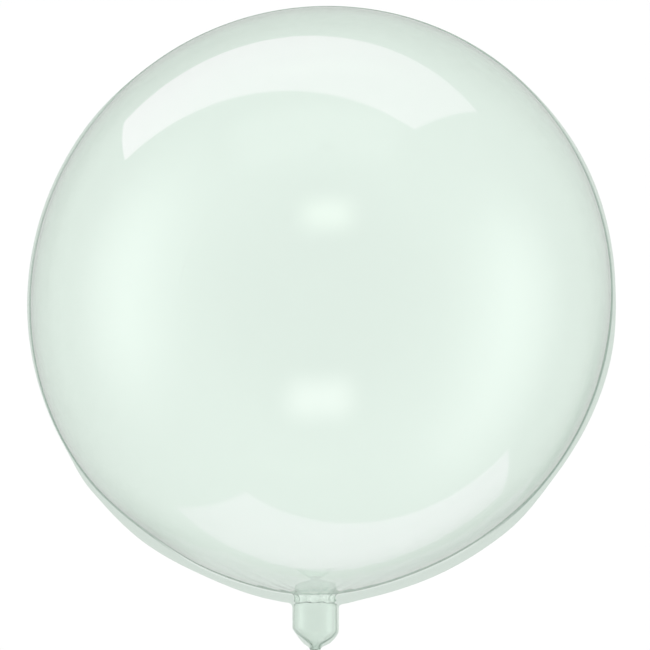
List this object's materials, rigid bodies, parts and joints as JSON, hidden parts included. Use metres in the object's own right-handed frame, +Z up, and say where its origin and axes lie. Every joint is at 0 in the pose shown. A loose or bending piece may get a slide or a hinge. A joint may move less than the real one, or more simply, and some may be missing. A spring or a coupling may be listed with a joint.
{
  "type": "clear bubble balloon",
  "caption": "Clear round bubble balloon of thin welded film, lying on its side, with a seam round its edge and a gathered filling neck.",
  "frame": {"origin": "middle of the small flat spot that the balloon rests on, under the ball's centre", "axes": "+Z up from the flat spot through the ball's centre, -Y along the filling neck, +X across; the welded seam lies level at the height of the ball's centre"},
  "size_m": [0.4657, 0.5496, 0.4585],
  "materials": {
    "clear_film": "thin clear glossy film with a faint green tint, see-through, welded at the seam"
  },
  "bodies": {
    "root": {"balloon": "clear_film"}
  },
  "joints": []
}
